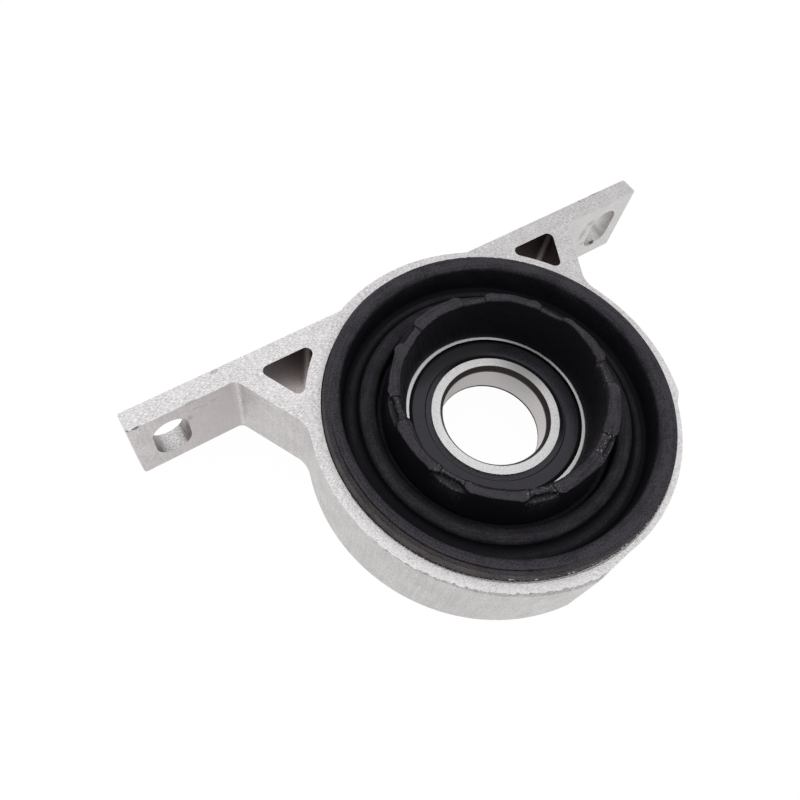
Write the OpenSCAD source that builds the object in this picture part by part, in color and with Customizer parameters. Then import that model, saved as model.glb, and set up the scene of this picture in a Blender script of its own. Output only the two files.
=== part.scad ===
// Driveshaft centre bearing: a sawn aluminium bracket holds a sealed ball bearing in a rubber bellows.
// Millimetres. The origin is the centre of the bearing. Z runs along the shaft towards the open collar,
// X runs along the mounting bar, and Y points at the bar's mounting face.

/* [Bracket] */
// Length of the bracket along the shaft
bracket_depth = 30; // [24:0.5:40]
// Radius of the ring's bore, where the rubber is seated
ring_bore_r = 57.5; // [55:0.5:62]
// Wall of the ring
ring_wall = 4.1; // [3.5:0.1:7]
// Distance from the shaft axis to the mounting face of the bar
bar_face_y = 55.7; // [50:0.1:58]
// Thickness of the two ears
ear_t = 7; // [5:0.5:10]
// Distance from each bolt slot's centre to the end of its ear
ear_end = 12.25; // [9:0.25:20]
// Rounding of the corners at the ends of the ears
ear_corner_r = 1; // [0.2:0.1:2]
// Distance from the shaft axis to the outer edge of each diagonal web
web_reach = 40.8; // [38:0.2:46]
// Angle of each web's outer side, as the dip of its normal below the X axis
web_dip = 25.6; // [20:0.2:32]
// Thickness of each diagonal web
web_t = 6.9; // [4:0.1:9]
// Fillet between each web and its ear
web_ear_fillet = 3; // [1:0.5:6]
// Fillet between each web and the ring
web_ring_fillet = 10; // [2:0.5:14]
// Fillet where the ring rises through the mounting face
ring_bar_fillet = 4; // [1:0.5:8]

/* [Windows] */
// Metal between each window and the mounting face
window_top_wall = 6.7; // [4:0.1:9]
// Metal between each window and the rubber
window_ring_wall = 5; // [3.5:0.1:8]
// Corner radius of the windows
window_corner_r = 2.2; // [0.5:0.1:2.5]

/* [Relief on the ring] */
// Depth of the relief on the outside of the ring, where it is deepest
relief_depth = 2.25; // [0.5:0.05:2.5]
// Depth of the relief at its other end
relief_end_depth = 1.6; // [0.3:0.05:2.5]
// Angle at which the relief starts
relief_from = -99; // [-120:1:-90]
// Angle over which the relief sinks to its depth
relief_run_in = 12; // [4:1:12]
// Angle at which the relief ends
relief_to = -26; // [-50:1:-10]
// Angle over which the relief rises again
relief_run_out = 4; // [2:0.5:9]

/* [Bolt slots] */
// Distance between the centres of the two bolt slots
slot_spacing = 183.7; // [175:0.1:210]
// Width of each slot, along the bar
slot_w = 11.8; // [8:0.1:13]
// Length of each slot, along the shaft
slot_len = 19.3; // [14:0.1:22]

/* [Bearing] */
// Bore of the bearing
bearing_bore = 35; // [30:1:40]
// Outer diameter of the bearing
bearing_od = 62; // [58:1:66]
// Width of the bearing
bearing_w = 14; // [13:0.5:18]
// Distance of the bearing's front face behind the front of the bracket
bearing_setback = 7.15; // [5:0.05:10]
// Height of the inner ring's shoulder above the bore
inner_land_h = 3.93; // [3:0.01:5]
// Depth of the outer ring at its shoulder
outer_land_h = 3.7; // [2.8:0.05:4.5]
// Radial size of the chamfer at the bore
bore_chamfer_r = 1; // [0.5:0.1:1.5]
// Axial size of the chamfer at the bore
bore_chamfer_z = 1.5; // [0.5:0.1:2.5]
// Chamfer on the outside of the outer ring
rim_chamfer = 1; // [0.5:0.1:1.5]
// Diameter of the balls
ball_d = 7.938; // [6:0.001:8.2]
// Number of balls
ball_count = 11; // [8:1:11]
// Raceway radius as a share of the ball's diameter
raceway_share = 0.515; // [0.51:0.005:0.53]
// Radial play between each ball and each raceway
ball_play = 0.02; // [0.01:0.01:0.05]

/* [Cage] */
// Thickness of the pressed steel of the cage
cage_t = 0.7; // [0.5:0.05:0.8]
// Room round each ball in its pocket
pocket_gap = 0.12; // [0.05:0.01:0.2]
// Width of the cage between its inner and outer edges
cage_band = 3.9; // [3:0.1:4.2]
// Radius of the cage rivets
rivet_r = 0.75; // [0.5:0.05:0.9]
// Radius of the rivet heads
rivet_head_r = 1.3; // [1:0.05:1.5]
// Height of the rivet heads
rivet_head_h = 0.5; // [0.3:0.05:0.7]

/* [Seals] */
// Radial depth of the outer ring at each seal's seat
seal_seat_h = 2.15; // [1.8:0.05:2.8]
// Depth of each seal's seat in the outer ring
seal_seat_depth = 1.9; // [1.5:0.05:1.95]
// Distance of each seal behind the face of the rings
seal_sink = 0.3; // [0.1:0.05:0.6]
// Running gap between each seal's lip and the inner ring
seal_lip_gap = 0.05; // [0.02:0.01:0.1]
// Width of the groove round each seal, beside the outer ring
seal_rim_w = 0.6; // [0.3:0.05:1]
// Depth of that groove
seal_rim_depth = 0.7; // [0.3:0.05:1]
// Distance of each seal's lip behind its face
seal_lip_step = 0.4; // [0.1:0.05:0.6]
// Number of fine grooves on each seal's lip
seal_grooves = 3; // [1:1:4]
// Distance from one fine groove to the next
seal_groove_pitch = 0.5; // [0.4:0.05:0.9]
// Width of the fine grooves
seal_groove_w = 0.2; // [0.15:0.05:0.3]
// Depth of the fine grooves
seal_groove_depth = 0.25; // [0.1:0.05:0.4]

/* [Rubber bellows] */
// Gap left between the rubber and the metal that it is seated on
bond_gap = 0.02; // [0.01:0.01:0.05]
// Height of the rubber rim above the front of the bracket
rim_proud = 3.4; // [1:0.1:6]
// Width of the rubber rim
rim_w = 5.9; // [4:0.1:8]
// Setback of the rim's crown from the bore of the ring
rim_setback = 0.9; // [0.2:0.1:2]
// Distance of the rubber ahead of the back of the bracket
rim_rear_gap = 1; // [0.5:0.1:4]
// Depth of the outer groove below the front of the bracket
outer_groove_depth = 6; // [4:0.1:9]
// Slope of the outer groove's walls, as their width in plan
outer_groove_slope = 1.3; // [0.5:0.1:1.6]
// Depth of the ridge between the two grooves below the front of the bracket
ridge_depth = 3.2; // [1:0.1:3.8]
// Width of the ridge
ridge_w = 5.1; // [3:0.1:6]
// Depth of the inner groove below the front of the bracket
inner_groove_depth = 8.4; // [6:0.1:10]
// Width of the inner groove
inner_groove_w = 2.3; // [1.5:0.1:3]
// Slope of the inner groove's walls, as their width in plan
inner_groove_slope = 0.3; // [0.1:0.1:0.5]
// Thickness of the folded wall
fold_t = 3.5; // [2:0.1:5]
// Wall of the collar round the bearing
collar_wall = 6.4; // [4:0.1:8]
// Height of the collar's lip above the front of the bracket
lip_height = 9.3; // [5:0.1:14]
// Flare of the collar's mouth beyond the outside of the bearing
mouth_flare = 2; // [1:0.1:3]
// Width of the collar's lip
lip_w = 3.7; // [3:0.1:5]
// Overlap of the beads that hold the bearing in the collar
bead_w = 0.9; // [0.5:0.1:1.5]
// Thickness of the bead in front of the bearing
front_bead_t = 1; // [0.5:0.1:2]
// Thickness of the bead behind the bearing
rear_bead_t = 2.5; // [1.5:0.1:4]
// Rounding of the moulded edges
edge_r = 0.8; // [0.3:0.1:1.2]
// Rounding of the folds
fold_r = 1.5; // [0.5:0.1:2]

/* [Notches in the collar's lip] */
// Number of notches
notch_count = 8; // [4:1:10]
// Angle of the first notch
notch_from = 26; // [0:1:45]
// Width of each notch at the outside of the lip
notch_w = 12; // [8:0.5:14]
// Width of each notch at its inner end
notch_inner_w = 5; // [2:0.5:7]
// Rounding of each notch's inner corners
notch_corner_r = 4; // [0.5:0.5:6]
// Depth of each notch below the lip
notch_depth = 2.4; // [1:0.1:4]
// Rubber left between each notch and the mouth
notch_web = 2; // [0.5:0.1:2.5]

/* [Hidden] */
$fn = 96;
// Extra length of a cut past the face that it opens
cut = 1;
// How far a rounding's patch reaches past the sides that it joins
lap = 0.1;
// How far a rounding's arc crosses those sides, so that they meet at a clean edge
bite = 0.002;
// Largest share of an edge that a rounding may take
round_share = 0.48;

bearing_r = bearing_od / 2;
bore_r = bearing_bore / 2;
half_w = bearing_w / 2;
pitch_r = (bearing_r + bore_r) / 2;
ball_r = ball_d / 2;
ball_step = 360 / ball_count;

front_z = half_w + bearing_setback;
back_z = front_z - bracket_depth;
mid_z = (front_z + back_z) / 2;

ring_r = ring_bore_r + ring_wall;
ear_y = bar_face_y - ear_t;
bar_len = slot_spacing + 2 * ear_end;
web_n = [cos(web_dip), -sin(web_dip)];
web_dir = [sin(web_dip), cos(web_dip)];
web_in = web_reach - web_t;
window_y = bar_face_y - window_top_wall;
window_r = ring_bore_r + window_ring_wall;

inner_land_r = bore_r + inner_land_h;
outer_land_r = bearing_r - outer_land_h;
seal_seat_r = bearing_r - seal_seat_h;
seal_seat_z = half_w - seal_seat_depth;
raceway_r = raceway_share * ball_d;
pocket_r = ball_r + pocket_gap;
cage_in_r = pitch_r - cage_band / 2;
cage_out_r = pitch_r + cage_band / 2;

rubber_r = ring_bore_r - bond_gap;
rim_in_r = ring_bore_r - rim_w;
rim_top_z = front_z + rim_proud;
rim_rear_z = back_z + rim_rear_gap;
outer_floor_z = front_z - outer_groove_depth;
ridge_z = front_z - ridge_depth;
inner_floor_z = front_z - inner_groove_depth;
collar_r = bearing_r + collar_wall;
ridge_in_r = collar_r + inner_groove_w;
ridge_out_r = ridge_in_r + ridge_w;
lip_z = front_z + lip_height;
mouth_r = bearing_r + mouth_flare;
lip_r = mouth_r + lip_w;
bead_r = bearing_r - bead_w;
bearing_seat_r = bearing_r + bond_gap;
collar_rear_z = -half_w - rear_bead_t;

ball_names = [for (i = [1:ball_count]) str("ball_", i < 10 ? "0" : "", i)];

// A point at distance d from the axis along the web's normal, and s along the web
function on_web(d, s) = d * web_n + s * web_dir;
// The point of a line parallel to the web, at distance d, that lies at height y
function web_at_y(d, y) = on_web(d, (y + d * sin(web_dip)) / cos(web_dip));
// The point of that line that lies at radius r from the axis
function web_at_r(d, r) = on_web(d, sqrt(r * r - d * d));
// The point at height y and radius r from the axis
function at_y_r(y, r) = [sqrt(r * r - y * y), y];
// The point at radius r and angle a
function polar(r, a) = r * [cos(a), sin(a)];
function unit(v) = v / norm(v);
// The point that lies a cut past b, on the line from a
function beyond(a, b) = b + cut * unit(b - a);
function cross2(a, b) = a[0] * b[1] - a[1] * b[0];
// The point that carries p a little past itself, away from the centre of a rounding
function past(p, centre) = p + lap * unit(p - centre);

// The sliver between a corner c and the arc that rounds it, which touches the two sides at t1 and t2.
// Its points run anticlockwise whichever side comes first.
module arc_patch(c, t1, t2, centre, r) {
    first = cross2(t1 - c, t2 - c) > 0 ? t1 : t2;
    second = cross2(t1 - c, t2 - c) > 0 ? t2 : t1;
    difference() {
        polygon([past(c, centre), past(first, centre), centre, past(second, centre)]);
        translate(centre) circle(r = r + bite);
    }
}

// The same for a corner between two straight sides, which leave it along the unit vectors a and b
module corner_patch(c, a, b, r) {
    half = acos(a * b) / 2;
    centre = c + unit(a + b) * r / sin(half);
    arc_patch(c, c + a * r / tan(half), c + b * r / tan(half), centre, r);
}

// A polygon whose corners are rounded: points run anticlockwise, and no arc takes over its share of an edge
module rounded_polygon(points, radii) {
    n = len(points);
    sides = [for (i = [0:n - 1]) points[(i + 1) % n] - points[i]];
    ahead = [for (s = sides) unit(s)];
    behind = [for (i = [0:n - 1]) -ahead[(i + n - 1) % n]];
    room = [for (i = [0:n - 1]) round_share * min(norm(sides[i]), norm(sides[(i + n - 1) % n]))];
    r = [for (i = [0:n - 1]) min(radii[i], room[i] * tan(acos(ahead[i] * behind[i]) / 2))];
    outward = [for (i = [0:n - 1]) cross2(ahead[i], behind[i]) > 0];
    difference() {
        polygon(points);
        for (i = [0:n - 1]) if (outward[i] && r[i] > 0) corner_patch(points[i], ahead[i], behind[i], r[i]);
    }
    for (i = [0:n - 1]) if (!outward[i] && r[i] > 0) corner_patch(points[i], ahead[i], behind[i], r[i]);
}

// Bracket

module web_outline() {
    ear_meet = web_at_y(web_reach, ear_y);
    ring_meet = web_at_r(web_reach, ring_r);
    bar_mid_y = ear_y + ear_t / 2;
    polygon([[0, 0], ring_meet, ear_meet, [ear_meet[0], bar_mid_y], [0, bar_mid_y]]);
    corner_patch(ear_meet, [1, 0], -web_dir, web_ear_fillet);
    centre = web_at_r(web_reach + web_ring_fillet, ring_r + web_ring_fillet);
    web_touch = centre - web_ring_fillet * web_n;
    arc_patch(ring_meet, ring_r * unit(centre), web_touch, centre, web_ring_fillet);
}

module ring_shoulder_outline() {
    meet = at_y_r(bar_face_y, ring_r);
    centre = at_y_r(bar_face_y + ring_bar_fillet, ring_r + ring_bar_fillet);
    arc_patch(meet, ring_r * unit(centre), [centre[0], bar_face_y], centre, ring_bar_fillet);
}

module bar_outline() {
    x = bar_len / 2;
    points = [[-x, ear_y], [x, ear_y], [x, bar_face_y], [-x, bar_face_y]];
    rounded_polygon(points, [for (p = points) ear_corner_r]);
}

module window_outline() {
    outer_corner = web_at_y(web_in, window_y);
    inner_corner = at_y_r(window_y, window_r);
    low_corner = web_at_r(web_in, window_r);
    rc = window_corner_r;
    inner_centre = at_y_r(window_y - rc, window_r + rc);
    low_centre = web_at_r(web_in - rc, window_r + rc);
    difference() {
        polygon([outer_corner, inner_corner, low_corner]);
        circle(r = window_r);
        corner_patch(outer_corner, [-1, 0], -web_dir, rc);
        arc_patch(inner_corner, [inner_centre[0], window_y], window_r * unit(inner_centre), inner_centre, rc);
        arc_patch(low_corner, window_r * unit(low_centre), low_centre + rc * web_n, low_centre, rc);
    }
}

// Plan of the relief: it sinks along a straight side, follows a circle set a little off the shaft axis, so
// that its depth changes evenly, and rises along another straight side
module relief_outline() {
    deep_from = relief_from + relief_run_in;
    deep_to = relief_to - relief_run_out;
    middle = (deep_from + deep_to) / 2;
    shift = (relief_depth - relief_end_depth) / 2 / sin((deep_to - deep_from) / 2);
    start_in = polar(ring_r - relief_depth, deep_from);
    start_out = polar(ring_r, relief_from);
    end_in = polar(ring_r - relief_end_depth, deep_to);
    end_out = polar(ring_r, relief_to);
    far = [for (a = [relief_from, middle, relief_to]) polar(2 * ring_r, a)];
    start = [beyond(start_out, start_in), beyond(start_in, start_out)];
    end = [beyond(end_in, end_out), beyond(end_out, end_in)];
    difference() {
        polygon(concat(start, far, end));
        translate(polar(shift, middle + 90)) circle(r = ring_r - (relief_depth + relief_end_depth) / 2);
    }
}

module bracket_outline() {
    difference() {
        union() {
            circle(r = ring_r);
            bar_outline();
            for (side = [0, 1]) mirror([side, 0]) {
                web_outline();
                ring_shoulder_outline();
            }
        }
        circle(r = ring_bore_r);
        relief_outline();
        for (side = [0, 1]) mirror([side, 0]) window_outline();
    }
}

// A slot with round ends, cut along Y through one ear
module bolt_slot() {
    straight = slot_len - slot_w;
    for (end = [-1, 1]) translate([0, bar_face_y + cut, end * straight / 2]) rotate([90, 0, 0])
        cylinder(d = slot_w, h = ear_t + 2 * cut);
    translate([-slot_w / 2, ear_y - cut, -straight / 2]) cube([slot_w, ear_t + 2 * cut, straight]);
}

module housing_bracket() color([0.80, 0.80, 0.79]) difference() {
    translate([0, 0, back_z]) linear_extrude(bracket_depth) bracket_outline();
    for (side = [-1, 1]) translate([side * slot_spacing / 2, 0, mid_z]) bolt_slot();
}

// Rubber

// Half section of the bellows: from the back of the rim, over the rim and both grooves to the collar's lip,
// down the mouth and the bearing's seat, and back under the folds
module bellows_section() {
    groove_side = rim_in_r - outer_groove_slope;
    rear_fold_z = outer_floor_z - fold_t;
    rear_collar_z = inner_floor_z - fold_t;
    corners = [
        [[rim_in_r, rim_rear_z], edge_r],
        [[rubber_r, rim_rear_z], 0],
        [[rubber_r, front_z], 0],
        [[ring_bore_r - rim_setback, rim_top_z], edge_r],
        [[rim_in_r, rim_top_z], edge_r],
        [[groove_side, outer_floor_z], fold_r],
        [[ridge_out_r + outer_groove_slope, outer_floor_z], fold_r],
        [[ridge_out_r, ridge_z], edge_r],
        [[ridge_in_r, ridge_z], edge_r],
        [[ridge_in_r - inner_groove_slope, inner_floor_z], edge_r],
        [[collar_r + inner_groove_slope, inner_floor_z], edge_r],
        [[lip_r, lip_z], edge_r],
        [[mouth_r, lip_z], edge_r],
        [[bead_r, half_w + front_bead_t], edge_r],
        [[bead_r, half_w], 0],
        [[bearing_seat_r, half_w], 0],
        [[bearing_seat_r, -half_w], 0],
        [[bead_r, -half_w], 0],
        [[bead_r, collar_rear_z], edge_r],
        [[collar_r, collar_rear_z], edge_r],
        [[collar_r, rear_collar_z], fold_r],
        [[ridge_in_r, rear_collar_z], fold_r],
        [[ridge_in_r + ridge_w / 2, ridge_z - fold_t], fold_r],
        [[ridge_out_r, rear_fold_z], fold_r],
        [[rim_in_r, rear_fold_z], fold_r]
    ];
    rounded_polygon([for (c = corners) c[0]], [for (c = corners) c[1]]);
}

// Plan of one notch, which widens towards the outside of the lip and opens there
module notch_outline() {
    notch_r = mouth_r + notch_web;
    reach = collar_r + cut - notch_r;
    spread = (notch_w - notch_inner_w) / (lip_r - notch_r);
    inner = notch_inner_w / 2;
    outer = inner + reach * spread / 2;
    points = [[0, -inner], [reach, -outer], [reach, outer], [0, inner]];
    rounded_polygon(points, [notch_corner_r, 0, 0, notch_corner_r]);
}

module rubber_bellows() color([0.09, 0.09, 0.095]) difference() {
    rotate_extrude() bellows_section();
    for (i = [0:notch_count - 1]) rotate(notch_from + i * 360 / notch_count)
        translate([mouth_r + notch_web, 0, lip_z - notch_depth])
            linear_extrude(notch_depth + cut) notch_outline();
}

// Bearing

module bearing_outer_ring() color([0.78, 0.78, 0.78]) rotate_extrude() difference() {
    polygon([
        [outer_land_r, -seal_seat_z], [seal_seat_r, -seal_seat_z], [seal_seat_r, -half_w],
        [bearing_r - rim_chamfer, -half_w], [bearing_r, rim_chamfer - half_w],
        [bearing_r, half_w - rim_chamfer], [bearing_r - rim_chamfer, half_w],
        [seal_seat_r, half_w], [seal_seat_r, seal_seat_z], [outer_land_r, seal_seat_z]
    ]);
    translate([pitch_r + ball_r + ball_play - raceway_r, 0]) circle(r = raceway_r);
}

module bearing_inner_ring() color([0.80, 0.80, 0.80]) rotate_extrude() difference() {
    chamfer_r = bore_r + bore_chamfer_r;
    chamfer_z = half_w - bore_chamfer_z;
    polygon([
        [bore_r, -chamfer_z], [chamfer_r, -half_w], [inner_land_r, -half_w],
        [inner_land_r, half_w], [chamfer_r, half_w], [bore_r, chamfer_z]
    ]);
    translate([pitch_r - ball_r - ball_play + raceway_r, 0]) circle(r = raceway_r);
}

module at_ball(i) rotate(i * ball_step) translate([pitch_r, 0, 0]) children();

module ball(i) color([0.85, 0.85, 0.86]) at_ball(i) sphere(r = ball_r);

module at_each_ball() for (i = [0:ball_count - 1]) at_ball(i) children();

module at_each_rivet() rotate(ball_step / 2) at_each_ball() children();

// One pressed half of the cage, above the plane through the balls' centres
module cage_half() color([0.62, 0.62, 0.60]) difference() {
    intersection() {
        union() {
            cylinder(r = cage_out_r, h = cage_t);
            at_each_ball() sphere(r = pocket_r + cage_t);
        }
        cylinder(r = cage_out_r, h = pocket_r + cage_t + cut);
    }
    translate([0, 0, -cut]) cylinder(r = cage_in_r, h = pocket_r + cage_t + 3 * cut);
    at_each_ball() sphere(r = pocket_r);
    at_each_rivet() cylinder(r = rivet_r + bond_gap, h = 4 * cage_t, center = true);
}

module cage_front() cage_half();

module cage_rear() mirror([0, 0, 1]) cage_half();

module cage_rivets() color([0.70, 0.70, 0.68]) at_each_rivet() {
    cylinder(r = rivet_r, h = 2 * cage_t + rivet_head_h, center = true);
    for (side = [0, 1]) mirror([0, 0, side]) translate([0, 0, cage_t])
        cylinder(r1 = rivet_head_r, r2 = rivet_r, h = rivet_head_h);
}

module seal_front() color([0.13, 0.13, 0.14]) rotate_extrude() difference() {
    in_r = inner_land_r + seal_lip_gap;
    out_r = seal_seat_r - bond_gap;
    step_r = in_r + (seal_grooves + 0.5) * seal_groove_pitch;
    face_z = half_w - seal_sink;
    step_z = face_z - seal_lip_step;
    rim_z = face_z - seal_rim_depth;
    polygon([
        [in_r, seal_seat_z], [out_r, seal_seat_z], [out_r, rim_z], [out_r - seal_rim_w, rim_z],
        [out_r - seal_rim_w, face_z], [step_r + seal_lip_step, face_z], [step_r, step_z], [in_r, step_z]
    ]);
    for (i = [0:seal_grooves - 1])
        translate([in_r + (i + 0.5) * seal_groove_pitch, step_z - seal_groove_depth])
            square([seal_groove_w, seal_groove_depth + cut]);
}

module seal_rear() mirror([0, 0, 1]) seal_front();

housing_bracket();
rubber_bellows();
bearing_outer_ring();
bearing_inner_ring();
cage_front();
cage_rear();
cage_rivets();
seal_front();
seal_rear();
for (i = [0:ball_count - 1]) ball(i);
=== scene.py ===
"""Driveshaft centre bearing: its rubber bellows, finishes and studio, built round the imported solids.

Lengths are in millimetres and angles in degrees until a mesh is made. The frame is the part's own: Z runs
along the shaft towards the open collar, X along the mounting bar, and Y points at the bar's mounting face.
"""

import bpy
import numpy as np
from mathutils import Matrix, Vector


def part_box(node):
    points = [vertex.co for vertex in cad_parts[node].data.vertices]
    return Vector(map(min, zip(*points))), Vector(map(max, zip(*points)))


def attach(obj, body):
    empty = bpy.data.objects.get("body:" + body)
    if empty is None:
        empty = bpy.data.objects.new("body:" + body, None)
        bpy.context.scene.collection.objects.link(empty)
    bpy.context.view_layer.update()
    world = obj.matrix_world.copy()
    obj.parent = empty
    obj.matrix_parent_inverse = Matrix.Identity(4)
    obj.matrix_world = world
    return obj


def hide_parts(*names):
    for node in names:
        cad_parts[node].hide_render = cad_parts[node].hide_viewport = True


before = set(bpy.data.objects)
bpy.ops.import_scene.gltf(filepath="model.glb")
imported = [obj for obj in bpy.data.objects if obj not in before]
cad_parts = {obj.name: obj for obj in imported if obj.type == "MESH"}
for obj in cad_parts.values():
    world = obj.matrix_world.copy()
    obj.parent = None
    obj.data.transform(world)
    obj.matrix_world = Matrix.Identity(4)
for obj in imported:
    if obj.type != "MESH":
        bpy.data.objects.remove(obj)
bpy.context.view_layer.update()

MM = 0.001
ORIGIN = (0.0, 0.0, 0.0)
GOLDEN_ANGLE = 2.39996


def box_mm(node):
    """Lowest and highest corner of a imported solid, in millimetres."""
    low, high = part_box(node)
    return np.array(low) / MM, np.array(high) / MM


housing_low, housing_high = box_mm("housing_bracket")
rubber_low, rubber_high = box_mm("rubber_bellows")
ring_low, ring_high = box_mm("bearing_outer_ring")

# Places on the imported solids
BACK_Z = housing_low[2]
FRONT_Z = housing_high[2]
RING_R = housing_high[1]
BAR_FACE_Y = 55.7
EAR_T = 7.0
EAR_UNDER_Y = BAR_FACE_Y - EAR_T
RUBBER_R = rubber_high[0]
RUBBER_REAR_Z = rubber_low[2]
LIP_Z = rubber_high[2]
BEARING_R = ring_high[0]
HALF_W = ring_high[2]
BORE_R = 17.5
CHAMFER_R = 18.55
SCALE_Z = 4.65

# Bolt slots
SLOT_X = 91.85
SLOT_R = 5.9
SLOT_STRAIGHT = 3.75
SLOT_Z = 0.5 * (FRONT_Z + BACK_Z)

# Rim of the bellows
BOND_GAP = 0.02
RING_BORE_R = RUBBER_R + BOND_GAP
RIM_PROUD = 3.4
RIM_W = 5.9
RIM_LIFT = 0.45
RIM_LIFT_AT = 20.0
RIM_FOOT_IN = 0.4
RIM_SIDE_IN = 0.85
CREASE_IN = 2.5
CREASE_OUTER_W = 0.25
CREASE_INNER_W = 0.3
CREASE_DEPTH = 0.45
CREASE_LEAST = 0.02
CREASE_AT = -155.0

# Folds of the bellows, with depths below the bracket's front face
OUTER_GROOVE_DEPTH = 6.0
OUTER_GROOVE_SLOPE = 1.3
OUTER_GROOVE_R = 47.8
RIDGE_DEPTH = 3.2
RIDGE_W = 4.9
INNER_GROOVE_DEPTH = 8.4
INNER_GROOVE_W = 2.3
INNER_GROOVE_SLOPE = 0.3
FOLD_T = 3.5

# Collar of the bellows, measured from the bearing
COLLAR_R = BEARING_R + 6.4
MOUTH_R = BEARING_R + 2.0
MOUTH_OVAL = 0.55
MOUTH_OVAL_AT = 15.0
THROAT_SWELL = 0.4
LIP_R = MOUTH_R + 3.7
LIP_FOOT = 0.15
BEAD_R = BEARING_R - 0.9
SEAT_R = BEARING_R + BOND_GAP
FRONT_BEAD_T = 1.0
REAR_BEAD_T = 2.5

# Notches in the collar's lip, and the tabs between them
NOTCH_COUNT = 8
NOTCH_FROM = 26.0
NOTCH_W = 12.0
NOTCH_INNER_W = 5.0
NOTCH_BACK_R = MOUTH_R + 2.0
NOTCH_DEPTH = 2.4
STEP_SHARE = 0.4
TAB_END = 4.2
TAB_END_W = 0.35
TAB_BULGE = 0.35
TAB_BULGE_W = 0.9
TAB_SEAM_W = 0.3
WEB_DROP = 0.55

# Roundings of the moulded edges, and the largest share of a side that one may take
SHARP = 0.05
EDGE = 0.8
FOLD = 1.5
CREST = 2.2
ROUND_SHARE = 0.48

# Unevenness of the moulding round the axis, as bell curves of (middle, height, width)
MOUTH_BUMPS = (
    (14.0, 1.25, 8.0), (0.0, 0.4, 8.0), (45.0, 0.35, 12.0), (172.0, -1.2, 7.0),
    (-52.0, -0.95, 22.0), (-88.0, -0.5, 16.0), (122.0, -0.4, 8.0),
)
MOUTH_TEARS = ((-13.2, -1.2, 1.8), (164.6, -0.5, 1.0), (-71.0, -0.4, 2.0), (128.0, -0.3, 1.5))
LIP_BUMPS = (
    (2.0, 0.6, 8.0), (180.0, 0.35, 20.0), (-85.0, -0.45, 20.0), (135.0, -0.5, 8.0), (60.0, -0.3, 6.0),
)
LIP_FOOT_BUMPS = ((-152.0, 0.6, 7.0),)
BEAD_BUMPS = ((12.0, 0.3, 45.0), (162.0, -0.45, 28.0))
RIDGE_BUMPS = ((-75.0, -0.75, 35.0),)
GROOVE_BUMPS = ((-140.0, 1.0, 58.0),)
RIM_SIDE_BUMPS = ((112.0, 0.3, 18.0),)
RIM_EDGE_BUMPS = ((-50.0, -0.9, 42.0), (140.0, 0.2, 30.0))

# Sides where dust and the mouth's edge differ, as bell curves of (middle, share, width). Near, far and
# left take dust away as painted shade; right lowers the mouth's edge and adds dust.
NEAR_SIDE = ((-140.0, 1.0, 55.0),)
FAR_SIDE = ((35.0, 0.85, 45.0),)
LEFT_SIDE = ((-165.0, 0.8, 40.0),)
RIGHT_SIDE = ((-35.0, 1.0, 28.0),)
LIP_DUST_BUMPS = ((-148.0, 0.35, 22.0), (-70.0, -0.3, 28.0), (52.0, -0.2, 20.0), (166.0, -0.35, 6.0))
NOTCH_CLEAN = ((116.0, 0.85, 14.0),)

# How strongly each notch is scuffed, from the first one on: pale scuffs, and painted highlights on the lit
# edges of the near notches
NOTCH_SCUFFS_AND_HIGHLIGHTS = np.array([0.0, 0.0, 0.0, 0.4, 0.45, 0.6, 1.0, 0.3])

# Camera, solved from the bracket's straight edges and the bearing's circles
CAMERA_AT = (-108.218, -62.876, 217.892)
CAMERA_AIM = (0.34564, 0.34398, -0.87305)
CAMERA_RIGHT = (0.82975, -0.54654, 0.11317)
CAMERA_LENS = 33.27
SENSOR = 36.0


# Meshes

def ease(value, low, high):
    """Smooth step: 0 below low, 1 above high, and 3t^2 - 2t^3 between them."""
    t = np.clip((value - low) / (high - low), 0.0, 1.0)
    return t * t * (3.0 - 2.0 * t)


def towards(angle, middle, low, high):
    """1 round a middle in degrees and 0 opposite: the smooth step from low to high of the cosine of the angle
    between them."""
    return ease(np.cos(angle - np.radians(middle)), low, high)


def ripple(angle, waves, seed):
    """A sum of cosines of the angle, one for each whole number in waves, with phases spread by the golden
    angle, scaled to stay within -1 and 1."""
    waves = np.asarray(waves, float)
    phase = (np.arange(waves.size) + seed) * GOLDEN_ANGLE
    return np.cos(angle[..., None] * waves + phase).mean(axis=-1)


def bells(angle, bumps):
    """Sum of bell curves round the axis, one for each (middle, height, width), with angles in degrees."""
    total = np.zeros_like(angle)
    for middle, tall, wide in bumps:
        away = np.angle(np.exp(1j * (angle - np.radians(middle))))
        total = total + tall * np.exp(-(away / np.radians(wide)) ** 2)
    return total


def ring_faces(rows, columns):
    """Quads of a grid of points that closes on itself in both directions, facing outwards when the rows
    turn anticlockwise about Z and the columns run anticlockwise round the section."""
    row = np.arange(rows)[:, None]
    column = np.arange(columns)[None, :]
    next_row = (row + 1) % rows
    next_column = (column + 1) % columns
    corners = [
        row * columns + column,
        next_row * columns + column,
        next_row * columns + next_column,
        row * columns + next_column,
    ]
    return np.stack(corners, axis=-1).reshape(-1, 4)


def make_piece(name, points, faces, values, body, material):
    """A smooth mesh piece from points in millimetres, with named values on its points, on a body."""
    mesh = bpy.data.meshes.new(name)
    mesh.from_pydata(points * MM, [], faces)
    mesh.polygons.foreach_set("use_smooth", np.ones(len(faces), bool))
    for label, array in values.items():
        layer = mesh.attributes.new(label, "FLOAT", "POINT")
        layer.data.foreach_set("value", np.ascontiguousarray(array, np.float32).ravel())
    mesh.materials.append(material)
    mesh.update()
    piece = bpy.data.objects.new(name, mesh)
    bpy.context.scene.collection.objects.link(piece)
    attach(piece, body)
    return piece


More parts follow.
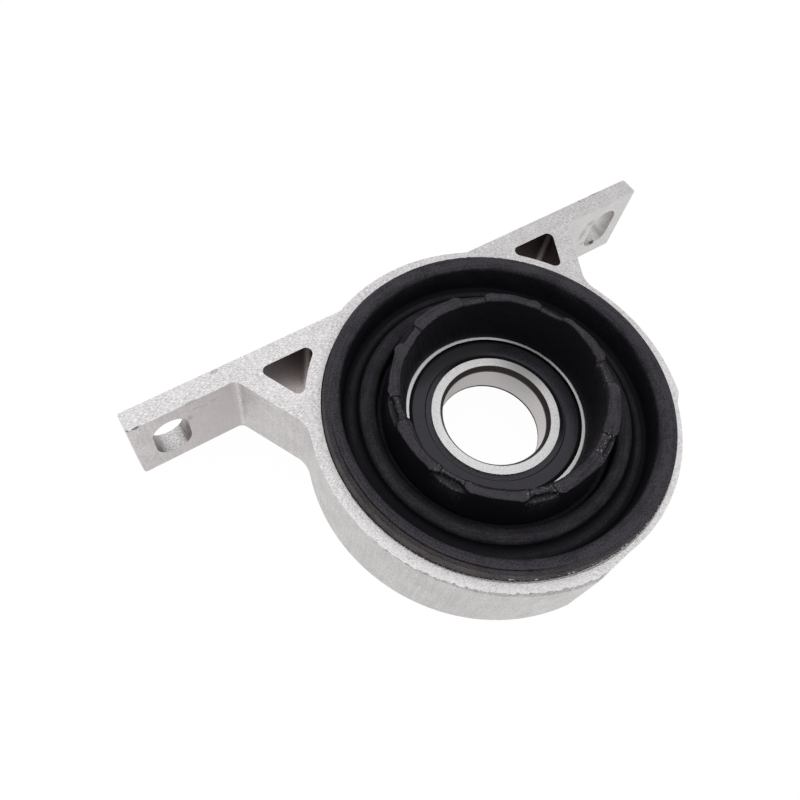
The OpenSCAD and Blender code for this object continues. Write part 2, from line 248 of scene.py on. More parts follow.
def rounded_sections(corners, reach, arc_points=4, side_points=1):
    """Closed outlines whose corners are rounded, for corners of shape (..., n, 2).

    Each corner is cut back by its reach along both sides, never by more than ROUND_SHARE of a side, and
    bridged by the parabola (1-u)^2 S + 2u(1-u) C + u^2 E from the cut S over the corner C to the cut E. The
    straight rest of each side is split evenly.
    """
    ahead = np.roll(corners, -1, axis=-2) - corners
    length = np.linalg.norm(ahead, axis=-1)
    room = ROUND_SHARE * np.minimum(length, np.roll(length, 1, axis=-1))
    cut = np.minimum(reach, room)[..., None]
    unit = ahead / length[..., None]
    start = corners - np.roll(unit, 1, axis=-2) * cut
    end = corners + unit * cut
    u = np.linspace(0.0, 1.0, arc_points)[:, None]
    arcs = (
        (1 - u) ** 2 * start[..., None, :]
        + 2 * u * (1 - u) * corners[..., None, :]
        + u ** 2 * end[..., None, :]
    )
    v = np.linspace(0.0, 1.0, side_points + 2)[1:-1, None]
    following = np.roll(start, -1, axis=-2)[..., None, :]
    sides = end[..., None, :] * (1 - v) + following * v
    outline = np.concatenate([arcs, sides], axis=-2)
    return outline.reshape(corners.shape[:-2] + (-1, 2))


def notch_angles():
    """Angles round the axis in radians, closer together at the sides of the notches."""
    pitch = 360.0 / NOTCH_COUNT
    half = np.degrees(0.5 * NOTCH_W / LIP_R)
    beyond = half + 2.5
    core = 0.3 * half
    stops = (-beyond, -core, core, beyond, pitch - beyond)
    counts = (24, 5, 24, 17)
    spans = zip(stops[:-1], stops[1:], counts)
    one = np.concatenate([np.linspace(a, b, n, endpoint=False) for a, b, n in spans])
    turns = pitch * np.arange(NOTCH_COUNT)[:, None]
    return np.radians(NOTCH_FROM + one + turns).ravel()


def notch_distance(angle):
    """Distance round the lip from the nearest notch's middle, and that notch's number."""
    pitch = 2.0 * np.pi / NOTCH_COUNT
    turn = (angle - np.radians(NOTCH_FROM)) / pitch
    number = np.round(turn)
    return np.abs(turn - number) * pitch * LIP_R, np.mod(number, NOTCH_COUNT)


def lip_outside(distance):
    """Radius of the lip's outer side at a distance from a notch's middle, and how far it is in the notch.

    It is the notch's back wall in the middle, a smooth step out to the lip's full radius, and a small bell
    curve beyond the step, where each tab's end bulges.
    """
    inside = ease(distance, 0.5 * NOTCH_W, 0.5 * NOTCH_INNER_W)
    past_step = distance - 0.5 * NOTCH_W - TAB_BULGE_W
    bulge = TAB_BULGE * np.exp(-(past_step / TAB_BULGE_W) ** 2)
    return LIP_R + bulge - inside * (LIP_R - NOTCH_BACK_R), inside


def bellows_corners(angle):
    """Corners of the bellows' half section as (radius, height), anticlockwise, at every angle, with each
    corner's rounding and its share of dust, which also carries painted shade and painted light.

    The lip's corners change with the angle: the mouth is slightly oval, and in a notch the lip's crown drops
    to a low web and its outer side steps in to the notch's back wall. The rim stands higher on one side and
    is creased on another, each by the smooth step of a cosine. Bell curves of the angle shift the mouth's
    edge, the bead, the lip's side, the ridge, the dusty band in the outer groove and the rim where the
    moulding is uneven, and say where dust lies. Painted shade takes dust away in the rim's crease, in the
    outer groove and at the ridge's inner edge on the left, on the ridge on the far side and at the mouth's
    inner edge on the near side; painted light gives the rim's foot beside the ring a full share.
    """
    near = bells(angle, NEAR_SIDE)
    far = bells(angle, FAR_SIDE)
    left = bells(angle, LEFT_SIDE)
    right = bells(angle, RIGHT_SIDE)

    rim_z = FRONT_Z + RIM_PROUD + RIM_LIFT * towards(angle, RIM_LIFT_AT, -0.2, 1.0)
    rim_in_r = RING_BORE_R - RIM_W
    rim_out_r = RUBBER_R - RIM_SIDE_IN + bells(angle, RIM_SIDE_BUMPS)
    rim_edge_r = rim_in_r + bells(angle, RIM_EDGE_BUMPS)
    crease_r = RUBBER_R - CREASE_IN
    crease = CREASE_DEPTH * (CREASE_LEAST + (1.0 - CREASE_LEAST) * towards(angle, CREASE_AT, 0.55, 0.9))

    outer_floor_z = FRONT_Z - OUTER_GROOVE_DEPTH
    ridge_z = FRONT_Z - RIDGE_DEPTH
    inner_floor_z = FRONT_Z - INNER_GROOVE_DEPTH
    groove_mid_r = OUTER_GROOVE_R + bells(angle, GROOVE_BUMPS)
    ridge_in_r = COLLAR_R + INNER_GROOVE_W
    ridge_out_r = ridge_in_r + RIDGE_W + bells(angle, RIDGE_BUMPS)
    rear_fold_z = outer_floor_z - FOLD_T
    rear_collar_z = inner_floor_z - FOLD_T
    collar_rear_z = -HALF_W - REAR_BEAD_T

    distance, _ = notch_distance(angle)
    wall_r, inside = lip_outside(distance)
    uneven = bells(angle, LIP_BUMPS)
    wall_r = wall_r + uneven
    foot_r = LIP_R + LIP_FOOT + uneven + bells(angle, LIP_FOOT_BUMPS)
    notch_z = LIP_Z - NOTCH_DEPTH
    step_z = notch_z + STEP_SHARE * NOTCH_DEPTH * (1.0 - inside)
    crown_z = LIP_Z - WEB_DROP * ease(distance, TAB_END + TAB_END_W, TAB_END - TAB_END_W)
    oval = MOUTH_OVAL * np.cos(2.0 * (angle - np.radians(MOUTH_OVAL_AT)))
    edge_r = MOUTH_R + oval + bells(angle, MOUTH_BUMPS)
    throat_r = 0.5 * (MOUTH_R + BEAD_R) + THROAT_SWELL + 0.5 * oval
    throat_z = 0.5 * (LIP_Z + HALF_W)
    bead_r = BEAD_R + bells(angle, BEAD_BUMPS)

    seam = np.exp(-((distance - TAB_END) / TAB_SEAM_W) ** 2)
    lip_dust = (1.0 - 0.85 * seam) * (1.0 + bells(angle, LIP_DUST_BUMPS))
    notch_dust = 0.15 + 0.55 * inside * (1.0 - bells(angle, NOTCH_CLEAN))
    table = [
        ((rim_in_r, RUBBER_REAR_Z), EDGE, 0.0),
        ((RUBBER_R, RUBBER_REAR_Z), 0.2, 0.0),
        ((RUBBER_R, FRONT_Z - 1.5), 0.1, 0.0),
        # Painted light: the rim's foot beside the ring gets a full share of dust, which lightens the dark gap
        # there.
        ((RUBBER_R - RIM_FOOT_IN, FRONT_Z + 0.1), 0.3, 1.0),
        ((rim_out_r, rim_z - 0.05), 0.3, 0.95),
        ((crease_r + CREASE_OUTER_W, rim_z - 0.25 * crease), 0.2, 0.95),
        # Painted shade: the crease loses its dust as it deepens.
        ((crease_r, rim_z - crease), 0.1, 1.0 - 2.2 * crease),
        ((crease_r - CREASE_INNER_W, rim_z), 0.25, 1.0),
        ((rim_edge_r, rim_z), 2.0, 0.75),
        ((rim_in_r - OUTER_GROOVE_SLOPE, outer_floor_z), FOLD, 0.0),
        # Painted shade: the outer groove loses dust on the left.
        ((groove_mid_r, outer_floor_z), 0.5, 0.42 * (1.0 - 1.2 * left)),
        ((ridge_out_r + OUTER_GROOVE_SLOPE, outer_floor_z), FOLD, 0.03),
        # Painted shade: the ridge loses dust on the far side, and its inner edge also on the left.
        ((ridge_out_r, ridge_z), CREST, 0.58 * (1.0 - far)),
        ((ridge_in_r, ridge_z), CREST, 0.48 * (1.0 - far) * (1.0 - 0.8 * left)),
        ((ridge_in_r - INNER_GROOVE_SLOPE, inner_floor_z), EDGE, 0.3),
        ((COLLAR_R + INNER_GROOVE_SLOPE, inner_floor_z), EDGE, 0.3),
        ((foot_r, notch_z), 0.25, notch_dust),
        ((wall_r, step_z), 0.4, 0.1),
        ((wall_r, crown_z), 0.6, 0.9 * lip_dust),
        ((0.5 * (wall_r + edge_r), crown_z), 0.6, lip_dust),
        # Painted shade: the mouth's inner edge loses dust on the near side.
        ((edge_r + 0.6, crown_z), 0.4, lip_dust * (1.0 - 0.85 * near)),
        ((edge_r, crown_z - 0.5 - 1.2 * right), 0.4, 0.05 + 0.4 * right),
        ((throat_r, throat_z), 4.0, 0.0),
        ((bead_r, HALF_W + FRONT_BEAD_T), 0.5, 0.0),
        ((bead_r, HALF_W), SHARP, 0.0),
        ((SEAT_R, HALF_W), SHARP, 0.0),
        ((SEAT_R, -HALF_W), SHARP, 0.0),
        ((BEAD_R, -HALF_W), SHARP, 0.0),
        ((BEAD_R, collar_rear_z), EDGE, 0.5),
        ((COLLAR_R, collar_rear_z), EDGE, 0.5),
        ((COLLAR_R, rear_collar_z), FOLD, 0.1),
        ((ridge_in_r, rear_collar_z), FOLD, 0.1),
        ((ridge_in_r + 0.5 * RIDGE_W, ridge_z - FOLD_T), FOLD, 0.2),
        ((ridge_out_r, rear_fold_z), FOLD, 0.1),
        ((rim_in_r, rear_fold_z), FOLD, 0.1),
    ]
    flat = np.ones_like(angle)
    corners = np.stack([np.stack([r * flat, z * flat], axis=-1) for (r, z), _, _ in table], axis=-2)
    reach = np.array([row[1] for row in table])
    dust_and_painted_light = np.stack([row[2] * flat for row in table], axis=-1)
    return corners, reach, dust_and_painted_light


def build_bellows(material):
    """The rubber moulding: its section carried round the axis, with a leaning, lumpy, ragged lip.

    A point at angle a with section point (r, z) goes to (r cos a, r sin a, z). Above the bead the collar
    leans by lean towards lean_to, as the smooth step of its height. Its lip swells by ripples of a, its
    mouth's edge is rough by quicker ripples and pulled in at each tear by a bell curve of a, shallow flutes
    run down one side of the mouth, and a stretch of the rim's outer edge has ragged flash.
    """
    lean = 0.6
    lean_to = np.radians(120.0)
    lump = 0.22
    swell_waves = (5, 7, 11, 17, 23)
    crown_waves = (4, 9, 14, 27)
    rough = 0.16
    rough_waves = (29, 41, 67, 83, 97)
    flute = 0.07
    flute_count = 64
    flute_at = 115.0
    flash = 0.16
    flash_from, flash_to = np.radians((36.0, 78.0))
    flash_fade = 0.1
    flash_waves = (91, 127, 163)
    collar_within_r = COLLAR_R + 0.2
    top_z = (LIP_Z - 4.0, LIP_Z - 0.8)
    throat_z = (HALF_W + 2.0, HALF_W + 5.0)
    throat_within_r = MOUTH_R + 0.6
    shoulder_z = (FRONT_Z + 2.0, FRONT_Z + 3.0)
    shoulder_r = (RUBBER_R - 1.6, RUBBER_R - 0.9)
    scuff_sides = (0.5 * NOTCH_W + 0.8, 0.5 * NOTCH_W - 1.0)
    scuff_beyond_r = MOUTH_R - 0.5
    angle = notch_angles()
    corners, reach, dust_and_painted_light = bellows_corners(angle)
    section = rounded_sections(corners, reach)
    per_corner = section.shape[1] // corners.shape[1]
    radius = section[..., 0]
    height = section[..., 1]
    turn = angle[:, None] * np.ones_like(radius)

    collar = radius < collar_within_r
    rise = ease(height, HALF_W + FRONT_BEAD_T, LIP_Z) * collar
    top = ease(height, *top_z) * collar
    mouth_edge = top * ease(radius, 0.5 * (LIP_R + MOUTH_R), MOUTH_R)
    throat = ease(height, *throat_z) * (1.0 - top) * (radius < throat_within_r)
    shoulder = ease(height, *shoulder_z) * ease(radius, *shoulder_r)
    swell = lump * ripple(turn, swell_waves, 1)
    ragged = rough * ripple(turn, rough_waves, 2) + bells(turn, MOUTH_TEARS)
    fluted = flute * towards(turn, flute_at, 0.2, 0.9) * np.cos(flute_count * turn)
    flashed = ease(turn, flash_from, flash_from + flash_fade) * ease(turn, flash_to, flash_to - flash_fade)
    radius = radius + top * swell + mouth_edge * ragged + throat * fluted
    radius = radius + flash * shoulder * flashed * ripple(turn, flash_waves, 4)
    height = height + 0.5 * lump * top * ripple(turn, crown_waves, 6)
    height = np.minimum(height, LIP_Z)
    x = radius * np.cos(turn) + lean * rise * np.cos(lean_to)
    y = radius * np.sin(turn) + lean * rise * np.sin(lean_to)
    points = np.stack([x, y, height], axis=-1).reshape(-1, 3)

    dusty = np.repeat(dust_and_painted_light, per_corner, axis=-1)
    dusty = 0.5 * dusty + 0.25 * (np.roll(dusty, 1, axis=-1) + np.roll(dusty, -1, axis=-1))
    distance, number = notch_distance(turn)
    in_notch = ease(distance, *scuff_sides)
    scuffed_and_highlighted = NOTCH_SCUFFS_AND_HIGHLIGHTS[number.astype(int)] * in_notch * top * (radius > scuff_beyond_r)
    values = {"dust_and_painted_light": dusty, "scuff_and_highlight": scuffed_and_highlighted}
    faces = ring_faces(*radius.shape)
    piece = make_piece("bellows_moulding", points, faces, values, "mount", material)
    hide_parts("rubber_bellows")


def build_shavings(name, angle, radius, height, material):
    """A strip of saw burr round the bore: at each angle a triangle whose corners are the rows of radius and
    height, anticlockwise, joined from one angle to the next and closed by a triangle at either end."""
    x = radius * np.cos(angle)
    y = radius * np.sin(angle)
    points = np.stack([x, y, height], axis=-1).transpose(1, 0, 2).reshape(-1, 3)
    rows = np.arange(angle.size - 1)[:, None] * 3
    side = np.arange(3)[None, :]
    after = (side + 1) % 3
    quads = [rows + side, rows + 3 + side, rows + 3 + after, rows + after]
    last = 3 * angle.size
    ends = [[0, 1, 2], [last - 1, last - 2, last - 3]]
    faces = np.stack(quads, axis=-1).reshape(-1, 4).tolist() + ends
    make_piece(name, points, faces, {}, "mount", material)


def build_bore_burr(material):
    """The fringe of fine spikes that the saw left on the bore's edge: each spike is as tall as the positive
    part of a ripple of the angle and leans in over the rubber, on top of a low rolled edge on one side."""
    tallest = 0.8
    least = 0.01
    waves = (173, 241, 331, 457, 613)
    start, stop = np.radians((-178.0, 60.0))
    fade = 0.4
    roll = 0.3
    roll_start = np.radians((-150.0, -125.0))
    roll_stop = np.radians((-62.0, -82.0))
    roll_bumps = ((-96.0, 0.28, 15.0),)
    lean_in, rise = 0.9, 0.6
    base_w, base_in, base_sink = 0.25, 0.02, 0.1
    angle = np.linspace(start, stop, 3400)
    faded = ease(angle, start, start + fade) * ease(angle, stop, stop - fade)
    crest = np.clip(ripple(angle, waves, 3), 0.0, None)
    rolled = roll * ease(angle, *roll_start) * ease(angle, *roll_stop) + bells(angle, roll_bumps)
    tall = least + rolled + tallest * faded * crest
    level = np.ones_like(angle)
    radius = [(RING_BORE_R + base_w) * level, RING_BORE_R - lean_in * tall, (RING_BORE_R + base_in) * level]
    height = [FRONT_Z * level, FRONT_Z + rise * tall, (FRONT_Z - base_sink) * level]
    build_shavings("bore_burr", angle, np.stack(radius), np.stack(height), material)


def build_rim_swarf(material):
    """Bright shavings caught between the rim and the ring: slivers along the rim's outer side, as thick as
    the clipped crest of a ripple of the angle, and sunk in the rubber where there is none."""
    start, stop = np.radians((-136.0, -36.0))
    start_fade, stop_fade = 0.2, 0.3
    crest_waves = (37, 59, 97, 151, 223)
    crest_gain, crest_cut = 2.5, 0.25
    thinnest, swelling = 0.04, 0.26
    level_z = FRONT_Z + 1.0
    level_waves = (9, 14, 31)
    level_rise = 0.25
    sunk_r = RUBBER_R - 0.62
    crest_out, foot_out, rise = 0.2, 0.3, 1.3
    tip_in, root_in = 0.05, 0.3
    angle = np.linspace(start, stop, 1500)
    faded = ease(angle, start, start + start_fade) * ease(angle, stop, stop - stop_fade)
    crest = np.clip(crest_gain * ripple(angle, crest_waves, 5) - crest_cut, 0.0, 1.0) * faded
    thick = thinnest + swelling * crest
    low_z = level_z + level_rise * ripple(angle, level_waves, 2)
    wall_r = sunk_r + crest_out * crest
    radius = np.stack([wall_r + foot_out * thick, wall_r - tip_in, wall_r - root_in])
    height = np.stack([low_z, low_z + rise * thick, low_z])
    build_shavings("rim_swarf", angle, radius, height, material)


# Shader trees

class Tree:
    """Short calls that add nodes to one tree and link them. Values are sockets or plain numbers."""

    def __init__(self, tree):
        self.tree = tree

    def add(self, kind, inputs=(), **settings):
        """A new node with its settings and its inputs, given as (socket name or number, value) pairs."""
        node = self.tree.nodes.new(kind)
        for label, value in settings.items():
            setattr(node, label, value)
        for label, value in dict(inputs).items():
            self.put(node.inputs[label], value)
        return node

    def put(self, socket, value):
        """Link a socket to the input, or set the input to a plain value."""
        if isinstance(value, bpy.types.NodeSocket):
            self.tree.links.new(value, socket)
        else:
            socket.default_value = value

    def math(self, operation, *values):
        """The result of a Math node."""
        return self.add("ShaderNodeMath", enumerate(values), operation=operation).outputs[0]

    def product(self, *values):
        """The product of two or more values."""
        total = values[0]
        for value in values[1:]:
            total = self.math("MULTIPLY", total, value)
        return total

    def mixture(self, *parts, base=0.0):
        """The base plus each part's value times its weight, for parts given as (value, weight) pairs."""
        total = base
        for value, weight in parts:
            total = self.math("MULTIPLY_ADD", value, weight, total)
        return total

    def largest(self, *values):
        """The largest of two or more values."""
        most = values[0]
        for value in values[1:]:
            most = self.math("MAXIMUM", most, value)
        return most

    def hypotenuse(self, across, along):
        """The square root of the sum of two squares."""
        squares = self.math("MULTIPLY_ADD", across, across, self.product(along, along))
        return self.math("SQRT", squares)

    def span(self, value, low, high, to_low=0.0, to_high=1.0):
        """The value carried smoothly from the range low..high to to_low..to_high."""
        inputs = {"Value": value, "From Min": low, "From Max": high, "To Min": to_low, "To Max": to_high}
        node = self.add("ShaderNodeMapRange", inputs, interpolation_type="SMOOTHSTEP")
        return node.outputs["Result"]

    def blend(self, factor, first, second):
        """A mix of two colours."""
        node = self.add("ShaderNodeMix", data_type="RGBA")
        self.put(node.inputs["Factor"], factor)
        self.put(node.inputs[6], first)
        self.put(node.inputs[7], second)
        return node.outputs[2]

    def noise(self, vector, scale, detail, roughness):
        """The value of a Noise texture."""
        inputs = {"Vector": vector, "Scale": scale, "Detail": detail, "Roughness": roughness}
        return self.add("ShaderNodeTexNoise", inputs).outputs[0]

    def split(self, vector):
        """The X, Y and Z of a vector."""
        return self.add("ShaderNodeSeparateXYZ", {"Vector": vector}).outputs

    def join(self, **parts):
        """A vector from its X, Y and Z, which are 0 where they aren't given."""
        return self.add("ShaderNodeCombineXYZ", parts).outputs[0]

    def vector_math(self, operation, *values):
        """The vector result of a Vector Math node."""
        return self.add("ShaderNodeVectorMath", enumerate(values), operation=operation).outputs[0]

    def stretched(self, vector, factors):
        """A vector times a factor for each axis."""
        return self.vector_math("MULTIPLY", vector, factors)

    def dot(self, vector, direction):
        """How far a point lies in a direction."""
        node = self.add("ShaderNodeVectorMath", {0: vector, 1: direction}, operation="DOT_PRODUCT")
        return node.outputs["Value"]

    def length(self, vector):
        """The length of a vector."""
        return self.add("ShaderNodeVectorMath", {0: vector}, operation="LENGTH").outputs["Value"]

    def distance(self, point, centre):
        """How far a point lies from a centre."""
        return self.length(self.vector_math("SUBTRACT", point, centre))

    def group(self, tree, **inputs):
        """The outputs of a placed node group."""
        node = self.add("ShaderNodeGroup")
        node.node_tree = tree
        for label, value in inputs.items():
            self.put(node.inputs[label], value)
        return node.outputs


def new_group(name, inputs, outputs):
    """An empty shader node group with named sockets: a Tree, the given sockets and the result's sockets."""
    tree = bpy.data.node_groups.new(name, "ShaderNodeTree")
    kinds = {"float": "NodeSocketFloat", "vector": "NodeSocketVector"}
    for label, (kind, value) in inputs.items():
        socket = tree.interface.new_socket(label, in_out="INPUT", socket_type=kinds[kind])
        socket.default_value = value
    for label, kind in outputs.items():
        tree.interface.new_socket(label, in_out="OUTPUT", socket_type=kinds[kind])
    entry = tree.nodes.new("NodeGroupInput")
    leave = tree.nodes.new("NodeGroupOutput")
    return Tree(tree), entry.outputs, leave.inputs


def speckle_group():
    """Fine grains: a noise of a given grain size in millimetres, carried to the range Low..High."""
    contrast = (0.3, 0.7)
    inputs = {
        "Point": ("vector", ORIGIN),
        "Grain": ("float", 1.0),
        "Low": ("float", 0.0),
        "High": ("float", 1.0),
    }
    tree, given, result = new_group("speckle", inputs, {"Value": "float"})
    scale = tree.math("DIVIDE", 1.0, given["Grain"])
    noise = tree.noise(given["Point"], scale, detail=3.0, roughness=0.6)
    tree.put(result["Value"], tree.span(noise, *contrast, given["Low"], given["High"]))
    return tree.tree


def round_axis_group():
    """Place on the part in millimetres: the point itself, its radius from the shaft axis and its height."""
    tree, given, result = new_group(
        "round_axis",
        {"Object": ("vector", ORIGIN)},
        {"Point": "vector", "Radius": "float", "Height": "float"},
    )
    point = tree.stretched(given["Object"], (1.0 / MM,) * 3)
    parts = tree.split(point)
    tree.put(result["Point"], point)
    tree.put(result["Radius"], tree.hypotenuse(parts["X"], parts["Y"]))
    tree.put(result["Height"], parts["Z"])
    return tree.tree


def spot_group():
    """A ragged spot: 1 near the Centre and 0 past the Stretch, which is its reach along X, Y and Z in
    millimetres, with an edge broken up by noise."""
    ragged_scale = 2.2
    ragged_span = (0.25, 0.75, 0.5, 1.7)
    fade = (1.0, 0.6)
    inputs = {
        "Point": ("vector", ORIGIN),
        "Centre": ("vector", ORIGIN),
        "Stretch": ("vector", (1.0, 1.0, 1.0)),
    }
    tree, given, result = new_group("spot", inputs, {"Mask": "float"})
    away = tree.vector_math("SUBTRACT", given["Point"], given["Centre"])
    away = tree.vector_math("DIVIDE", away, given["Stretch"])
    ragged = tree.noise(given["Point"], ragged_scale, detail=3.0, roughness=0.6)
    far = tree.product(tree.length(away), tree.span(ragged, *ragged_span))
    tree.put(result["Mask"], tree.span(far, *fade))
    return tree.tree


SPECKLE = speckle_group()
ROUND_AXIS = round_axis_group()
SPOT = spot_group()


def grains(tree, point, size, low=0.0, high=1.0):
    """The value of a placed speckle group, with grains of a size in millimetres."""
    return tree.group(SPECKLE, Point=point, Grain=size, Low=low, High=high)["Value"]


def new_material(name):
    """An empty material: itself, its Tree, its Principled shader and its place on the part."""
    material = bpy.data.materials.new(name)
    material.use_nodes = True
    tree = Tree(material.node_tree)
    shader = material.node_tree.nodes["Principled BSDF"]
    coordinates = tree.add("ShaderNodeTexCoord").outputs
    place = tree.group(ROUND_AXIS, Object=coordinates["Object"])
    return material, tree, shader, place


def surface_normal(tree):
    """The X, Y and Z of the direction in which the surface faces."""
    return tree.split(tree.add("ShaderNodeTexCoord").outputs["Normal"])


def finish_material(tree, shader, color, roughness, height, bump):
    """Link the colour, the roughness and a bump of the given depth in millimetres to the shader."""
    tree.put(shader.inputs["Base Color"], color)
    tree.put(shader.inputs["Roughness"], roughness)
    node = tree.add("ShaderNodeBump", {"Height": height, "Strength": 1.0, "Distance": bump * MM})
    tree.put(shader.inputs["Normal"], node.outputs["Normal"])


# Aluminium of the bracket

PALE_TONE = (0.74, 0.725, 0.715, 1.0)
NICK_TONE = (0.05, 0.045, 0.042, 1.0)
SMUDGE_TONE = (0.30, 0.285, 0.28, 1.0)
RIGHT_EAR = (60.0, 70.0)

# Nicks, a painted shadow at the right slot's back end, and smudges, as a centre and a reach along X, Y and Z
NICKS_AND_SLOT_SHADOW = (
    ((-104.2, EAR_UNDER_Y, FRONT_Z), (1.3, 0.8, 0.6)),
    ((-101.2, EAR_UNDER_Y, FRONT_Z), (1.7, 0.5, 0.5)),
    ((80.4, BAR_FACE_Y, FRONT_Z), (0.6, 0.6, 1.0)),
    ((88.0, BAR_FACE_Y, FRONT_Z), (3.0, 0.35, 0.8)),
    # Painted shadow at the right slot's back end, in the nicks' dark tone.
    ((92.4, 49.6, -10.2), (1.7, 1.0, 1.0)),
)
SMUDGES = (
    ((-85.2, EAR_UNDER_Y, 5.2), (0.9, 1.0, 1.6)),
    ((-82.6, EAR_UNDER_Y, 9.2), (2.4, 1.0, 0.5)),
    ((-80.2, EAR_UNDER_Y, 8.2), (1.6, 1.0, 0.4)),
    ((-76.4, EAR_UNDER_Y, 9.3), (1.8, 1.0, 0.5)),
    ((-83.8, EAR_UNDER_Y, FRONT_Z), (3.0, 0.6, 0.9)),
    ((-72.8, 55.0, FRONT_Z), (1.8, 0.7, 0.5)),
    ((82.0, EAR_UNDER_Y, 1.0), (2.0, 1.0, 4.5)),
    ((86.5, EAR_UNDER_Y, -6.0), (4.0, 1.0, 1.6)),
    ((84.0, EAR_UNDER_Y, 6.5), (2.6, 1.0, 1.6)),
)


def sawn_finish(tree, point):
    """Colour and sparkle of the sawn faces: pale grains drawn out along the saw's nearly straight lines,
    which are arcs about a far centre, livelier on the left, with painted light that brightens them there and
    on the near side."""
    low = (0.53, 0.514, 0.518, 1.0)
    high = (0.98, 0.957, 0.964, 1.0)
    saw_centre = (-30.0, -1200.0, 0.0)
    saw_stretch = 0.2
    fine_grain, line_grain, cloud_grain = 0.24, 1.6, 6.0
    fine_weight, line_weight, cloud_weight = 0.68, 0.18, 0.14
    lively_span = (-20.0, 60.0)
    least_range, most_range = (-0.35, -0.15), (1.48, 1.05)
    near_light_span = (30.0, -30.0, 0.0, 0.30)
    left_light_span = (-60.0, 80.0, 0.16, -0.13)
    parts = tree.split(point)
    saw_line = tree.join(X=tree.distance(point, saw_centre), Y=tree.product(parts["X"], saw_stretch))
    least = tree.span(parts["X"], *lively_span, *least_range)
    most = tree.span(parts["X"], *lively_span, *most_range)
    fine = grains(tree, saw_line, fine_grain, least, most)
    lines = grains(tree, saw_line, line_grain)
    cloud = grains(tree, point, cloud_grain)
    sparkle = tree.mixture((cloud, cloud_weight), (fine, fine_weight), (lines, line_weight))
    # Painted light: brighter towards the near side and the left, darker towards the right.
    painted_near_light = tree.span(parts["Y"], *near_light_span)
    painted_left_light = tree.span(parts["X"], *left_light_span)
    bright = tree.math("ADD", tree.math("ADD", sparkle, painted_near_light), painted_left_light)
    return tree.blend(bright, low, high), sparkle


def extruded_finish(tree, point, normal):
    """Colour, die lines and mottle of the extruded walls: mottled grey with faint lines along Z, darker and
    warmer on the left ear's inner side and paler on the right one's."""
    low = (0.38, 0.360, 0.358, 1.0)
    high = (0.76, 0.733, 0.733, 1.0)
    under_tone = (0.46, 0.404, 0.408, 1.0)
    die_stretch = (1.0, 1.0, 0.03)
    die_grain, mottle_grain, cloud_grain = 0.9, 0.6, 7.0
    die_weight, mottle_weight, cloud_weight = 0.15, 0.5, 0.18
    least_share = 0.08
    facing_in = (-0.8, -0.95)
    left_start, left_end = (-40.0, -62.0), (-108.0, -72.0)
    left_weight, right_weight = 0.65, 0.35
    parts = tree.split(point)
    die = grains(tree, tree.stretched(point, die_stretch), die_grain)
    mottle = grains(tree, point, mottle_grain)
    cloud = grains(tree, point, cloud_grain)
    weights = ((cloud, cloud_weight), (die, die_weight), (mottle, mottle_weight))
    color = tree.blend(tree.mixture(*weights, base=least_share), low, high)
    inner = tree.span(normal["Y"], *facing_in)
    left = tree.product(inner, tree.span(parts["X"], *left_start), tree.span(parts["X"], *left_end))
    color = tree.blend(tree.product(left, left_weight), color, under_tone)
    right = tree.product(inner, tree.span(parts["X"], *RIGHT_EAR))
    color = tree.blend(tree.product(right, right_weight), color, PALE_TONE)
    return color, die, mottle


def window_finish_and_shade(tree, point, mottle):
    """Mask and colour of the windows' walls: a dull tone darkened by painted shade, which lightens towards
    the back. The mask is a round patch over each window."""
    low = (0.125, 0.104, 0.101, 1.0)
    high = (0.46, 0.408, 0.397, 1.0)
    window_x, window_y = 52.5, 43.0
    reach, soft = 11.3, 0.3
    light_from = 8.0
    side_span = (10.0, -10.0, 0.85, 1.0)
    mottle_weight, mottle_base = 0.7, 0.6
    deep_weight, deep_base = 0.9, 0.08
    parts = tree.split(point)
    across = tree.math("SUBTRACT", tree.math("ABSOLUTE", parts["X"]), window_x)
    up = tree.math("SUBTRACT", parts["Y"], window_y)
    mask = tree.span(tree.hypotenuse(across, up), reach + soft, reach - soft)
    # Painted shade: the walls are darkest near the front opening and lighter towards the back.
    toward_back = tree.product(tree.span(parts["Z"], light_from, BACK_Z), tree.span(parts["X"], *side_span))
    mottled = tree.mixture((mottle, mottle_weight), base=mottle_base)
    painted_shade_factor = tree.mixture((toward_back, deep_weight), base=deep_base)
    return mask, tree.blend(tree.product(mottled, painted_shade_factor), low, high)


def slot_finish(tree, point, mottle):
    """Mask and colour of the bolt slots' milled walls: streaks through the ear's thickness with torn dark
    patches, and painted light that makes the right slot paler towards its back end. The mask is the slot's
    rounded outline, a little enlarged."""
    low = (0.25, 0.235, 0.226, 1.0)
    high = (0.46, 0.438, 0.426, 1.0)
    outer, inner = SLOT_R + 0.12, SLOT_R + 0.04
    streak_stretch = (1.0, 0.12, 1.0)
    streak_grain, streak_weight, mottle_weight = 1.1, 0.6, 0.4
    torn_scale, torn_span = 1.3, (0.52, 0.68, 0.0, 0.55)
    pale_patch_span = (4.0, -6.0, 0.28, 0.85)
    parts = tree.split(point)
    across = tree.math("SUBTRACT", tree.math("ABSOLUTE", parts["X"]), SLOT_X)
    along = tree.math("ABSOLUTE", tree.math("SUBTRACT", parts["Z"], SLOT_Z))
    along = tree.largest(tree.math("SUBTRACT", along, SLOT_STRAIGHT), 0.0)
    mask = tree.span(tree.hypotenuse(across, along), outer, inner)
    streaked = tree.stretched(point, streak_stretch)
    streaks = grains(tree, streaked, streak_grain)
    milled = tree.mixture((mottle, mottle_weight), (streaks, streak_weight))
    torn = tree.span(tree.noise(streaked, torn_scale, detail=4.0, roughness=0.7), *torn_span)
    color = tree.blend(torn, tree.blend(milled, low, high), NICK_TONE)
    # Painted light: the right slot is paler towards its back end.
    pale_patch = tree.product(tree.span(parts["X"], *RIGHT_EAR), tree.span(parts["Z"], *pale_patch_span))
    return mask, tree.blend(pale_patch, color, PALE_TONE)


